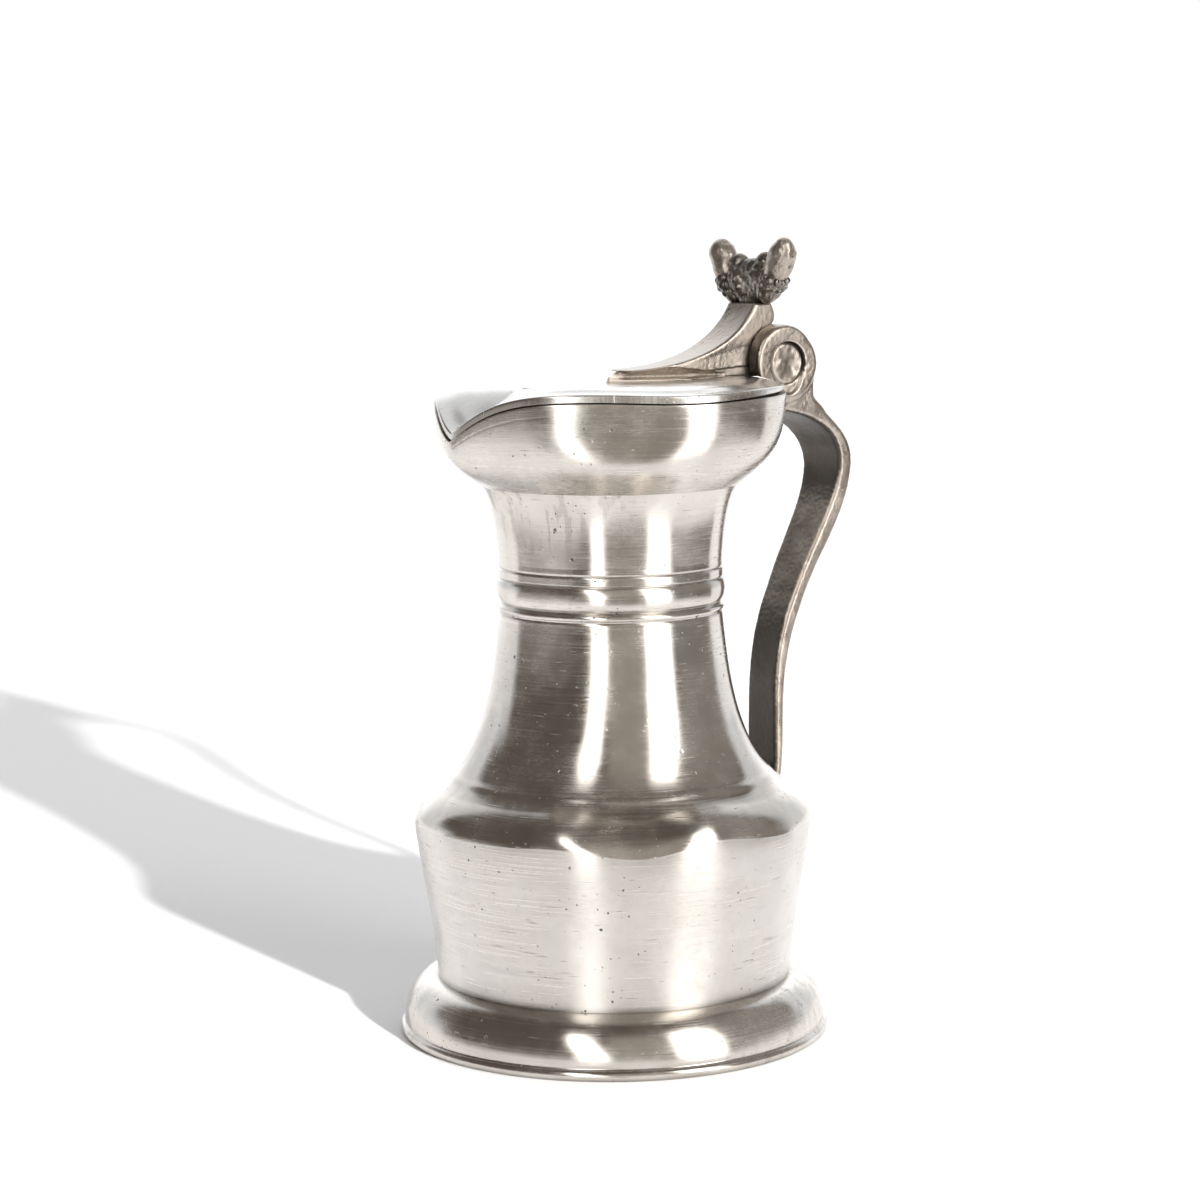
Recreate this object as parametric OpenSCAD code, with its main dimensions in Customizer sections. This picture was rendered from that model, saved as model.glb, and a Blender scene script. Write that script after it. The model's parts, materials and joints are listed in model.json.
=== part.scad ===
/*
  Lidded pewter wine flagon: a low bulbous drum on a moulded foot, a long neck with a
  turned band, a wide mouth cup with a small pouring beak, a strap handle, and a hinged
  lid with a ramp and a twin-acorn thumbpiece.

  Frame: +Z up from the table, +X towards the handle, -X towards the beak.
  The origin is the middle of the foot, on the table. Millimetres.
*/

/* [Foot] */
// Diameter over the bottom bead of the foot ring
foot_d = 124.4; // [118:0.2:130]
// Height of the foot ring, table to the start of the drum
foot_h = 16.6; // [14:0.2:20]
// Diameter of the crease where the foot ring meets the drum
waist_d = 102.2; // [98:0.2:106]
// Height of the bead that stands on the table
bead_h = 3.2; // [2.6:0.2:4]

/* [Body] */
// Diameter of the drum at its widest
belly_d = 114.8; // [110:0.2:120]
// Height of the widest point above the table
belly_z = 63; // [58:0.5:68]
// Wall thickness of the cast body
wall = 2.2; // [1.6:0.1:3]
// Thickness of the flat bottom plate
plate_t = 2.4; // [1.8:0.1:3]

/* [Neck] */
// Diameter of the neck just under the turned band
neck_d = 64.6; // [60:0.2:68]
// Height of the lower end of the turned band
band_z = 121; // [116:0.5:126]
// Height of the turned band, five mouldings in all
band_h = 16.4; // [14:0.2:20]
// Diameter over the largest ring of the band
ring_d = 66; // [65:0.2:70]

/* [Mouth cup] */
// Height of the crease where the cup starts
cup_z = 158.6; // [154:0.2:162]
// Diameter at that crease
cup_base_d = 73.4; // [70:0.2:76]
// Height of the cup rim
rim_z = 184.5; // [180:0.5:188]
// Diameter over the cup rim
rim_d = 101.2; // [98:0.2:104]
// How far the pouring beak is pulled out from the round rim
beak_out = 2.8; // [0:0.2:4]
// How far the rim dips at the tip of the beak
beak_drop = 11.2; // [6:0.2:13]
// Angle from the tip at which the dip has mostly faded
beak_spread = 15.5; // [12:0.5:20]
// How far the rim is drawn in on both sides of the beak
draw_in = 4; // [0:0.2:5]

/* [Lid] */
// Height of the lid's outer edge band
lid_edge_h = 2.2; // [1.6:0.1:3]
// Diameter over the lid
lid_d = 102; // [101:0.2:104]
// Diameter of the flat top
lid_flat_d = 88; // [80:0.5:92]
// Total height of the lid plate
lid_h = 3.6; // [3:0.1:5]
// Gap between the lid and the rim it rests over
lid_gap = 0.3; // [0.2:0.05:0.6]

/* [Hinge] */
// Distance of the hinge pin from the body's axis
hinge_x = 55.2; // [54.5:0.1:57]
// Height of the hinge pin
hinge_z = 191.7; // [191:0.1:193]
// Diameter of the hinge pin
pin_d = 5; // [4:0.5:6]
// Radial clearance between the pin and the lid's knuckle
pin_fit = 0.05; // [0.02:0.01:0.1]
// Radius of the two round ears
ear_r = 11; // [10.4:0.1:11.2]
// Half of the width over the two ears
ear_out = 12; // [11:0.2:13]
// Half of the slot between the ears
ear_in = 7.2; // [6.8:0.1:7.6]
// Radius of the knuckle on the lid
knuckle_r = 8; // [7:0.1:8.2]
// Radius of the plugs that cover the pin's ends
plug_r = 6.2; // [5.6:0.1:7]

/* [Thumbpiece] */
// Height of the ramp's top, where the thumbpiece is soldered
thumb_z = 209; // [206:0.5:212]
// Distance of the thumbpiece from the body's axis
thumb_x = 51.2; // [50:0.2:52]
// Radius of each acorn's nut
nut_r = 4.1; // [3.6:0.1:4.6]
// Radius of each acorn's cup
acorn_cup_r = 4.7; // [4.3:0.1:5.4]
// Outward lean of each acorn
acorn_lean = 30; // [20:1:34]

/* [Hidden] */

$fn = 96;
curve_steps = 8;        // straight stretches in each curve of an outline
over = 5;               // how far a cutter runs past the solid it cuts

foot_r = foot_d / 2;
waist_r = waist_d / 2;
belly_r = belly_d / 2;
neck_r = neck_d / 2;
ring_r = ring_d / 2;
cup_base_r = cup_base_d / 2;
rim_r = rim_d / 2;
band_top = band_z + band_h;
plate_r = waist_r - wall + 0.8;          // the bottom plate sits in a rebate in the drum

lid_r = lid_d / 2;
lid_flat_r = lid_flat_d / 2;
lid_z = rim_z + lid_gap;                // underside of the lid's edge band
lid_top = lid_z + lid_h;
lid_seat_w = 4.6;                       // width of the underside that faces the rim
lid_skin = 2.2;                         // thickness of the lid inside that seat
drawn_at = 62;                          // angle from the tip where it is drawn in most
drawn_wide = 26;                        // angle over which that fades
droop_start_r = 24;                     // where the lid starts to bend down to the beak
notch_x = 44;                           // straight back edge of the lid, in front of the ears
notch_y = 12.6;                         // half of the notch's width at that edge
notch_angle = atan(notch_y / notch_x);

pin_r = pin_d / 2;
recess_y = 9;                           // where each ear's counterbore for its plug starts
pin_half = recess_y;
ramp_y = ear_in - 0.3;                  // half of the ramp's width at the hinge
slot_floor = hinge_z - 3.5;             // floor of the fork behind the pin
knuckle_room = 0.5;                     // gap all round the knuckle

acorn_y = 7;                         // distance of each acorn's foot from the middle
acorn_cup_h = 9.4;
nut_h = 12.2;

pewter = "#8f8a85";
bright_pewter = "#b9b6b2";
dark_pewter = "#6b6560";

// ---------- curves and outlines ----------

// Points of one cubic curve from a to d, pulled towards b and c
function curve(a, b, c, d, steps = curve_steps) =
    [for (i = [0:steps]) let (t = i / steps, s = 1 - t)
        s * s * s * a + 3 * s * s * t * b + 3 * s * t * t * c + t * t * t * d];

// Points of a circular arc round a centre
function arc(centre, r, from, to, steps = curve_steps) =
    [for (i = [0:steps]) let (a = from + (to - from) * i / steps)
        centre + r * [cos(a), sin(a)]];

function reversed(points) = [for (i = [len(points) - 1:-1:0]) points[i]];
function tail(points) = [for (i = [1:len(points) - 1]) points[i]];

// The inner side of a wall: each point moves in by t at right angles to the outline,
// and the two ends move straight in, so that stacked pieces meet on flat rings
function inside(points, t) =
    [for (i = [0:len(points) - 1])
        let (last = len(points) - 1,
             step = points[min(i + 1, last)] - points[max(i - 1, 0)],
             along = step / norm(step))
        (i == 0 || i == last) ? points[i] - [t, 0] : points[i] + t * [-along.y, along.x]];

// A closed ring of wall from an outline that runs upwards
module shell(outline, t = wall) {
    rotate_extrude()
        polygon(concat(outline, reversed(inside(outline, t))));
}

// The same outline filled to the axis
module filled(outline) {
    rotate_extrude()
        polygon(concat([[0, outline[0].y]], outline, [[0, outline[len(outline) - 1].y]]));
}

// Drum wall: a slightly bulged cone from the foot ring to the widest point
drum_outline = curve([waist_r, foot_h], [waist_r + 1.6, foot_h + 16],
                     [belly_r - 1.9, belly_z - 16], [belly_r, belly_z], 10);

// Shoulder rounded over, a faint crease, then the long hollow curve of the neck
shoulder_outline = concat(
    curve([belly_r, belly_z], [belly_r - 0.1, belly_z + 3.2],
          [belly_r - 3.2, belly_z + 6.2], [belly_r - 7.4, belly_z + 8.8]),
    tail(curve([belly_r - 7.4, belly_z + 8.8], [belly_r - 19, belly_z + 17.4],
               [neck_r + 2.3, band_z - 25], [neck_r, band_z], 14)));

// Turned band, from below: groove, small bead, groove, large ring, groove, flat fillet,
// groove
small_bead_z = band_z + 2.7;
ring_z = band_z + 8;
fillet_z = band_z + 12.9;
band_outline = concat(
    [[neck_r, band_z], [neck_r - 0.2, band_z + 1.4]],
    arc([neck_r - 0.7, small_bead_z], 0.95, -55, 55, 4),
    [[neck_r - 0.6, band_z + 4.2]],
    arc([ring_r - 5.2, ring_z], 5.2, -36, 36, 6),
    [[neck_r - 0.1, fillet_z - 1.4], [neck_r + 0.15, fillet_z - 1],
     [neck_r + 0.15, fillet_z + 1], [neck_r - 0.15, fillet_z + 1.5],
     [neck_r - 0.05, band_top]]);

// Plain upper neck, flaring to the crease under the cup
flare_outline = curve([neck_r - 0.05, band_top], [neck_r + 0.6, band_top + 8.1],
                      [neck_r + 1.1, cup_z - 5.6], [cup_base_r, cup_z]);

// Mouth cup without its beak
cup_outline = curve([cup_base_r, cup_z], [rim_r - 3.7, cup_z + 7.9],
                    [rim_r - 0.3, cup_z + 11.2], [rim_r, rim_z], 12);

// ---------- the pouring beak ----------

// Angle away from the tip, which points along -X
function off_tip(a) = abs(180 - ((a % 360) + 360) % 360);

// Dip of the rim: a soft point at the tip that fades to either side
function dip(a) = beak_drop * exp(-pow(off_tip(a) / beak_spread, 1.35));

// The wall is pulled out at the tip, which draws the rim in on both sides of the beak
function lobe(a) = beak_out * exp(-pow(off_tip(a) / beak_spread, 2));
function drawn(a) = draw_in * exp(-pow((off_tip(a) - drawn_at) / drawn_wide, 2));
function pull(a) = lobe(a) - drawn(a);

// Smooth step from 0 to 1
function ease(t) = let (u = min(max(t, 0), 1)) u * u * (3 - 2 * u);

// ---------- foot and body ----------

module foot_ring() {
    crown_r = waist_r + 9.8;
    outer = concat(
        [[foot_r - 3.6, 0], [foot_r - 1, 0]],
        arc([foot_r - bead_h / 2, bead_h / 2], bead_h / 2, -60, 70, 6),
        [[foot_r - 1.3, bead_h + 0.6]],
        [for (i = [0:9]) let (a = 8 + (90 - 8) * i / 9)
            [waist_r + (crown_r - waist_r) * cos(a),
             bead_h + 0.3 + (foot_h - bead_h - 0.3) * sin(a)]]);
    inner = curve([waist_r - 6, foot_h], [waist_r + 1, foot_h - 0.6],
                  [crown_r - 3, foot_h - 6], [foot_r - 3.6, 0]);
    color(pewter)
        rotate_extrude()
            polygon(concat(outer, inner));
}

module plate_blank() {
    translate([0, 0, foot_h])
        cylinder(r = plate_r, h = plate_t);
}

module base_plate() {
    color(dark_pewter)
        plate_blank();
}

module lower_drum() {
    color(bright_pewter)
        difference() {
            shell(drum_outline);
            plate_blank();
        }
}

module shoulder_neck() {
    color(bright_pewter)
        shell(shoulder_outline);
}

module upper_neck() {
    color(bright_pewter)
        shell(concat(band_outline, tail(flare_outline)));
}

// The cup is round at its crease and pulled to a beak at its rim, so each column of the
// wall is the plain outline, squeezed in height and pushed out by the beak's amount
module mouth_cup() {
    columns = 72;
    inner = inside(cup_outline, wall);
    section = concat(cup_outline, reversed(inner));
    rows = len(section);
    height = rim_z - cup_z;
    points = [for (c = [0:columns - 1]) let (a = 360 * c / columns)
        for (p = section)
            let (up = (p.y - cup_z) / height,
                 r = p.x + lobe(a) * ease(up) - drawn(a) * ease((up - 0.17) / 0.54),
                 z = cup_z + (p.y - cup_z) * (1 - dip(a) / height))
            [r * cos(a), r * sin(a), z]];
    faces = [for (c = [0:columns - 1]) for (k = [0:rows - 1])
        let (d = (c + 1) % columns, l = (k + 1) % rows)
        each [[c * rows + k, c * rows + l, d * rows + k],
              [d * rows + k, c * rows + l, d * rows + l]]];
    color(bright_pewter)
        polyhedron(points, faces, convexity = 6);
}

// ---------- handle and hinge ----------

// A round bar across the hinge, from one side to the other
module across(r, from, to) {
    translate([hinge_x, from, hinge_z])
        rotate([-90, 0, 0])
            cylinder(r = r, h = to - from);
}

// Side view of the strap, from the hinge block over the top bend down to the shoulder
module strap_side() {
    back = concat(
        [[hinge_x - 4, hinge_z], [hinge_x + ear_r - 0.3, hinge_z - 2],
         [hinge_x + 10.9, hinge_z - 7], [hinge_x + 10.8, hinge_z - 10.2],
         [hinge_x + 12.9, hinge_z - 12], [hinge_x + 14.6, hinge_z - 13.6]],
        curve([hinge_x + 15.4, hinge_z - 15.1], [76, 172], [81.5, 168], [81.5, 160.5]),
        tail(curve([81.5, 160.5], [81.3, 147], [72, 137], [66, 124])),
        tail(curve([66, 124], [61.5, 114], [58, 105], [57.5, 88])),
        [[57.2, 71.6], [55.6, belly_z + 2]]);
    front = concat(
        [[53, belly_z + 2], [54, 72]],
        curve([54, 88], [53.8, 104], [56.5, 114], [61, 123.5]),
        tail(curve([61, 123.5], [67, 138], [75.5, 149], [76.5, 159.5])),
        tail(curve([76.5, 159.5], [77, 172.5], [62, 176.8], [52, 178])),
        [[hinge_x - 9, 178.8]]);
    polygon(concat(back, front));
}

// Front view of the strap: as wide as the ears at the top, narrowing down to the shoulder
module strap_front() {
    half = concat(
        [[ear_out, hinge_z + 2 * ear_r], [ear_out, 180]],
        tail(curve([ear_out, 180], [9.3, 168], [8.8, 158], [8.5, 148])),
        tail(curve([8.5, 148], [8.2, 132], [6.9, 118], [7, 100])),
        [[7.4, belly_z]]);
    polygon(concat(half, [for (p = reversed(half)) [-p.x, p.y]]));
}

module handle() {
    reach = 90;
    color(pewter)
        difference() {
            union() {
                intersection() {
                    translate([0, ear_out, 0])
                        rotate([90, 0, 0])
                            linear_extrude(2 * ear_out)
                                strap_side();
                    rotate([90, 0, 90])
                        linear_extrude(reach)
                            strap_front();
                }
                across(ear_r, -ear_out, ear_out);
            }
            // the body that the handle is soldered to
            filled(cup_outline);
            filled(shoulder_outline);
            // the fork between the ears
            across(knuckle_r + knuckle_room, -ear_in, ear_in);
            translate([hinge_x - 2 * ear_r, -ear_in, rim_z])
                cube([2 * ear_r, 2 * ear_in, 2 * ear_r]);
            translate([hinge_x - 1, -ear_in, slot_floor])
                cube([2 * ear_r, 2 * ear_in, 2 * ear_r]);
            // the pin's bore and the two counterbores
            across(pin_r, -ear_out - over, ear_out + over);
            across(plug_r, -ear_out - over, -recess_y);
            across(plug_r, recess_y, ear_out + over);
        }
}

module hinge_pin() {
    color(dark_pewter)
        across(pin_r, -pin_half, pin_half);
}

// A plug closes each counterbore, with a shallow dish in its outer face
module pin_plug(side) {
    dish_r = 16;
    dish_depth = 0.8;
    depth = ear_out - recess_y;
    color(pewter)
        translate([hinge_x, side * recess_y, hinge_z])
            rotate([-90 * side, 0, 0])
                difference() {
                    cylinder(r = plug_r, h = depth);
                    translate([0, 0, depth + dish_r - dish_depth])
                        sphere(r = dish_r);
                }
}

// ---------- lid ----------

// Section of the lid as [share of the reach, height], over the top and back underneath
lid_section = [
    [droop_start_r / lid_r, lid_top], [0.6, lid_top], [0.74, lid_top],
    [lid_flat_r / lid_r, lid_top], [0.945, lid_top - 0.75], [1, lid_z + lid_edge_h],
    [1, lid_z], [1 - lid_seat_w / lid_r, lid_z],
    [0.88, lid_top - lid_skin], [0.74, lid_top - lid_skin], [0.6, lid_top - lid_skin],
    [droop_start_r / lid_r, lid_top - lid_skin]];

// Behind the ears the lid is cut straight across, and its top stays flat up to that cut
module lid_plate() {
    step = 5;
    side = [notch_angle + 0.3, 20, 25, 30, 35, 40];
    angles = concat([for (i = [-3:3]) notch_angle * i / 3], side,
                    [for (a = [45:step:315]) a], reversed([for (a = side) 360 - a]));
    columns = len(angles);
    rows = len(lid_section);
    rim_points = [for (a = angles) for (p = lid_section)
        let (b = a > 180 ? a - 360 : a,
             notched = abs(b) < notch_angle + 0.1,
             r = p.x * (notched ? notch_x / cos(b) : lid_r),
             sag = dip(a) * ease((r - droop_start_r) / (lid_r - droop_start_r - 2)),
             z = notched && p.y > lid_z + lid_edge_h - 0.1 ? lid_top : p.y,
             out = r + pull(a) * ease((r - droop_start_r) / (lid_r - droop_start_r)))
        [out * cos(a), out * sin(a), z - sag]];
    top_hub = len(rim_points);
    faces = concat(
        [for (c = [0:columns - 1]) for (k = [0:rows - 2])
            let (d = (c + 1) % columns)
            each [[c * rows + k, c * rows + k + 1, d * rows + k],
                  [d * rows + k, c * rows + k + 1, d * rows + k + 1]]],
        [for (c = [0:columns - 1]) let (d = (c + 1) % columns)
            each [[top_hub, c * rows, d * rows],
                  [top_hub + 1, d * rows + rows - 1, c * rows + rows - 1]]]);
    color(bright_pewter)
        polyhedron(concat(rim_points, [[0, 0, lid_top], [0, 0, lid_top - lid_skin]]),
                   faces, convexity = 4);
}

// Side view of the ramp: low at the middle of the lid, swept up to carry the thumbpiece
module ramp_side() {
    nose_x = -0.4;
    rise = curve([5, lid_top + 2.8], [22, lid_top + 3.2], [40, lid_top + 7.6],
                 [thumb_x - 4, thumb_z]);
    polygon(concat(
        [[nose_x, lid_top], [nose_x, lid_top + 0.4], [nose_x + 2.8, lid_top + 2.4]],
        rise,
        [[hinge_x - 1.9, thumb_z], [hinge_x - 0.8, thumb_z - 4.3],
         [hinge_x - 1.7, thumb_z - 5.8], [hinge_x, hinge_z + knuckle_r - 0.5],
         [hinge_x, lid_z + 0.4], [notch_x, lid_z + 0.4], [notch_x, lid_top]]));
}

// Seen from above the ramp is pointed at its nose and widens towards the hinge
module ramp_plan() {
    half = [[-0.6, 0.4], [3.4, 5.7], [notch_x, ramp_y], [hinge_x + knuckle_r, ramp_y]];
    polygon(concat(half, [for (p = reversed(half)) [p.x, -p.y]]));
}

module lid_ramp() {
    color(pewter)
        difference() {
            union() {
                intersection() {
                    translate([0, ramp_y, 0])
                        rotate([90, 0, 0])
                            linear_extrude(2 * ramp_y)
                                ramp_side();
                    translate([0, 0, lid_z])
                        linear_extrude(thumb_z)
                            ramp_plan();
                }
                across(knuckle_r, -ramp_y, ramp_y);
            }
            across(pin_r + pin_fit, -ramp_y - over, ramp_y + over);
        }
}

// ---------- thumbpiece ----------

// Places a child on the leaning axis of one acorn
module on_acorn(side) {
    translate([thumb_x, side * acorn_y, thumb_z])
        rotate([-side * acorn_lean, 0, 0])
            children();
}

module acorn_cup() {
    outline = concat(
        curve([2.4, 1], [acorn_cup_r - 0.6, 1.2], [acorn_cup_r, 3.4],
              [acorn_cup_r, 6]),
        tail(curve([acorn_cup_r, 6], [acorn_cup_r, 7.8], [acorn_cup_r - 0.2, 9],
                   [acorn_cup_r - 0.6, acorn_cup_h], 3)));
    filled(outline);
}

module acorn_nut() {
    outline = concat(
        curve([nut_r - 0.6, acorn_cup_h], [nut_r + 0.3, acorn_cup_h + 3],
              [nut_r + 0.4, acorn_cup_h + 8], [nut_r * 0.55, acorn_cup_h + nut_h - 1]),
        [[nut_r * 0.3, acorn_cup_h + nut_h - 0.25]]);
    filled(outline);
}

// The knobbly mass that joins the two cups, with its top dipping between them
module thumb_web() {
    depth = 7.6;
    half = concat(
        curve([ramp_y, 0], [ramp_y + 2, 0.3], [acorn_y + 3.6, 3], [acorn_y + 3.8, 7]),
        tail(curve([acorn_y + 3.8, 7], [acorn_y + 2.6, 12.4], [5, 13.4], [0, 13.6])));
    translate([thumb_x + depth / 2 - 0.6, 0, thumb_z])
        rotate([90, 0, -90])
            linear_extrude(depth)
                polygon(concat(half, [for (p = tail(reversed(half))) [-p.x, p.y]]));
}

module thumbpiece() {
    color(dark_pewter)
        difference() {
            union() {
                thumb_web();
                for (side = [-1, 1]) on_acorn(side) acorn_cup();
            }
            for (side = [-1, 1]) on_acorn(side) acorn_nut();
        }
}

module acorn(side) {
    color(pewter)
        on_acorn(side)
            acorn_nut();
}

// ---------- drawing ----------

foot_ring();
base_plate();
lower_drum();
shoulder_neck();
upper_neck();
mouth_cup();
handle();
hinge_pin();
pin_plug(-1);  // pin_plug_near
pin_plug(1);  // pin_plug_far
lid_plate();
lid_ramp();
thumbpiece();
acorn(-1);  // acorn_near
acorn(1);  // acorn_far
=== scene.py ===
"""The looks of a lidded pewter flagon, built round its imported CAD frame.

Shapes are worked out in millimetres and placed in the frame's metres. +Z is up, +X points
to the handle, -X to the beak, and Y runs along the hinge pin.
"""

import json
import math

import bmesh
import bpy
from mathutils import Matrix, Vector, noise
from mathutils.geometry import tessellate_polygon


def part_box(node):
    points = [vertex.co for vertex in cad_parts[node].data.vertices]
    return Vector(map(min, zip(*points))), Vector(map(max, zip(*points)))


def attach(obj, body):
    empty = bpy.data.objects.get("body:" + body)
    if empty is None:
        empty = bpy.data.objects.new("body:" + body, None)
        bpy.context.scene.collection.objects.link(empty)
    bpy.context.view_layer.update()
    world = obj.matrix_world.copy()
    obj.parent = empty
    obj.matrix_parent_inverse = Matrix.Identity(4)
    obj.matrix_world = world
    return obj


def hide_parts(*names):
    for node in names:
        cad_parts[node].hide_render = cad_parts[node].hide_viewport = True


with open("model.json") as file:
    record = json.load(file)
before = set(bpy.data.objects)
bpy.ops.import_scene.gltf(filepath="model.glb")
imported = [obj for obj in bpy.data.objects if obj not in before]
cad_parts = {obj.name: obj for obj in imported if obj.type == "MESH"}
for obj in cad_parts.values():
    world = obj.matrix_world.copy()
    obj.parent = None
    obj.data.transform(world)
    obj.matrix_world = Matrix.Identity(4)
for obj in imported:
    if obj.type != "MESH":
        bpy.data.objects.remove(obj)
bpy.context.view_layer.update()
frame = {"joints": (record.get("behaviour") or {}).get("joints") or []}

MM = 0.001
SHARP = 38                        # degrees between faces above which an edge stays sharp


# ---------- sizes, in millimetres, from the frame ----------


def span(node_name):
    """Lowest and highest corner of a CAD node, in millimetres."""
    low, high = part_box(node_name)
    return low / MM, high / MM


FOOT_R, _, FOOT_H = span("foot_ring")[1]
BELLY_R, _, BELLY_Z = span("lower_drum")[1]
BAND_Z = span("upper_neck")[0].z
CUP_Z = span("mouth_cup")[0].z
RIM_R, _, RIM_Z = span("mouth_cup")[1]
_, LID_R, LID_TOP = span("lid_plate")[1]
_, RAMP_Y, THUMB_Z = span("lid_ramp")[1]
_, EAR_OUT, _ = span("handle")[1]
HINGE = Vector(frame["joints"][0].get("pos_m")) / MM
PLUG_R = span("pin_plug_far")[1].x - HINGE.x
PLUG_DEPTH = span("pin_plug_far")[1].y - span("pin_plug_far")[0].y
PIN_R = span("hinge_pin")[1].x - HINGE.x
PIN_HALF = span("hinge_pin")[1].y
THUMB_X = (span("acorn_far")[0].x + span("acorn_far")[1].x) / 2

WAIST_R = 51.1
WALL = 2.2
NECK_R = 32.3
CUP_BASE_R = 36.7
PLATE_T = 2.4
EAR_R = 11.0
EAR_IN = 7.2
KNUCKLE_R = 8.0
FORK_GAP = 0.5
NOTCH_X = 44.0
NOTCH_Y = 12.6

BEAK_OUT = 2.8
BEAK_DROP = 11.2
BEAK_SPREAD = 15.5
DRAW_IN = 4.0                     # the rim is drawn in on both sides of the beak
DRAWN_AT = 62
DRAWN_WIDE = 26
DROOP_START = 24.0
LID_DISH = 0.9                    # how far the lid's middle lies below its flat border


# ---------- outlines ----------


def curve(a, b, c, d, steps=24):
    """Points of one cubic curve from a to d, pulled towards b and c."""
    points = []
    for i in range(steps + 1):
        t = i / steps
        s = 1 - t
        pulls = list(zip((s**3, 3 * s * s * t, 3 * s * t * t, t**3), (a, b, c, d)))
        points.append(tuple(sum(w * p[k] for w, p in pulls) for k in (0, 1)))
    return points


def arc(centre, radius, start, end, steps=10):
    """Points of a circular arc, with angles in degrees."""
    turns = [math.radians(start + (end - start) * i / steps) for i in range(steps + 1)]
    return [(centre[0] + radius * math.cos(a), centre[1] + radius * math.sin(a)) for a in turns]


def joined(*runs):
    """One outline from several runs of points, without doubled points."""
    points = []
    for run in runs:
        for p in run:
            if not points or math.dist(p, points[-1]) > 1e-4:
                points.append(p)
    return points


def filled_in(points, step=0.8):
    """The same outline with its long straight stretches cut into short ones."""
    dense = [points[0]]
    for a, b in zip(points, points[1:]):
        parts = max(1, math.ceil(math.dist(a, b) / step))
        dense += [(a[0] + (b[0] - a[0]) * i / parts, a[1] + (b[1] - a[1]) * i / parts)
                  for i in range(1, parts + 1)]
    return dense


def inside(points, thickness):
    """The inner side of a wall whose outer side runs upwards; the two ends move straight in."""
    last = len(points) - 1
    inner = []
    for i, p in enumerate(points):
        a, b = points[max(i - 1, 0)], points[min(i + 1, last)]
        length = math.dist(a, b)
        along = ((b[0] - a[0]) / length, (b[1] - a[1]) / length)
        across = (-1, 0) if i in (0, last) else (-along[1], along[0])
        inner.append((p[0] + thickness * across[0], p[1] + thickness * across[1]))
    return inner


def ease(t):
    """Smooth step from 0 to 1."""
    t = min(max(t, 0.0), 1.0)
    return t * t * (3 - 2 * t)


# ---------- the beak, shared by the cup and the lid ----------


def off_tip(angle):
    """Degrees away from the beak's tip, which points along -X."""
    return abs(180 - math.degrees(angle) % 360)


def dip(angle):
    """How far the rim drops: a soft point at the tip that fades to either side."""
    return BEAK_DROP * math.exp(-((off_tip(angle) / BEAK_SPREAD) ** 1.35))


def lobe(angle):
    """How far the wall is pulled out at the tip."""
    return BEAK_OUT * bump(off_tip(angle), BEAK_SPREAD)


def drawn(angle):
    """How far that draws the rim in on both sides of the beak."""
    return DRAW_IN * bump(off_tip(angle) - DRAWN_AT, DRAWN_WIDE)


def rim_wave(angle):
    """The old rim isn't quite level: it sags a little on the near side."""
    return -0.9 * bump(math.degrees(angle) % 360 - 262, 24)


# ---------- unevenness ----------

# Knocks in the wall: degrees round from +X, height, spread round, spread up, depth.
DENTS = ((-117, 64.0, 12, 8.0, 0.7), (-152, 66.0, 9, 3.4, 0.35), (-84, 64.5, 10, 3.6, 0.4),
         (-60, 66.0, 14, 4.0, 0.45), (70, 64.5, 12, 4.2, 0.6), (135, 66.0, 18, 4.5, 0.5),
         (-158, 103.0, 7, 13.0, 0.4), (-96, 9.0, 12, 3.2, 0.25), (35, 95.0, 9, 8.0, 0.4),
         (160, 30.0, 13, 9.0, 0.5), (-75, 149.0, 12, 5.0, 0.25), (100, 40.0, 16, 11.0, 0.35))
# Where the shoulder's edge has been pushed: degrees round, how far up, spread round.
PUSHED = ((-117, -2.6, 13), (-93, 1.8, 11), (-141, 0.6, 9), (-66, -0.7, 10), (40, -1.2, 15),
          (95, 1.0, 13), (150, -1.0, 16))
EDGE_Z = 66.0                     # the shoulder's edge, and how far up and down it is pushed
EDGE_REACH = 7.5


def bump(distance, width):
    """A soft bump: 1 at no distance, fading away over a width."""
    return math.exp(-((distance / width) ** 2))


def apart(angle, place):
    """Degrees from one direction to another, the short way round."""
    return (angle - place + 180) % 360 - 180


def pushed(z, angle):
    """How far up or down a knock has moved the shoulder's edge here."""
    moved = sum(height * bump(apart(math.degrees(angle), place), wide)
                for place, height, wide in PUSHED)
    return moved * bump(z - EDGE_Z, EDGE_REACH)


def beaten(p, amount=1.0):
    """The unevenness of an old vessel, as a distance outwards."""
    broad = noise.noise(Vector((p.x / 27, p.y / 27, p.z / 36)) + Vector((3.1, 7.7, 1.9)))
    fine = noise.noise(Vector((p.x / 9, p.y / 9, p.z / 12)) + Vector((13.1, 2.7, 5.9)))
    moved = amount * (0.15 * broad + 0.05 * fine)
    around = math.degrees(math.atan2(p.y, p.x))
    for place, height, wide, tall, depth in DENTS:
        off = apart(around, place)
        if abs(off) < 3 * wide and abs(p.z - height) < 3 * tall:
            moved -= depth * bump(off, wide) * bump(p.z - height, tall)
    return moved


def outward(p):
    """The direction straight away from the axis, or nothing on the axis itself."""
    out = Vector((p.x, p.y, 0))
    return out.normalized() if out.length > 0.05 else Vector()


# ---------- meshes ----------


def linked(name, data):
    """A new object in the scene."""
    made = bpy.data.objects.new(name, data)
    bpy.context.scene.collection.objects.link(made)
    return made


def finish_piece(body, node_name, mesh, slot, material):
    """Turns a mesh in millimetres into the piece that stands for one CAD node."""
    mesh.transform(Matrix.Scale(MM, 4))
    mesh.shade_smooth()
    mesh.set_sharp_from_angle(angle=math.radians(SHARP))
    mesh.update()
    piece = linked(node_name + "_skin", mesh)
    mesh.materials.append(material)
    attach(piece, body)
    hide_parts(node_name)


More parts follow.
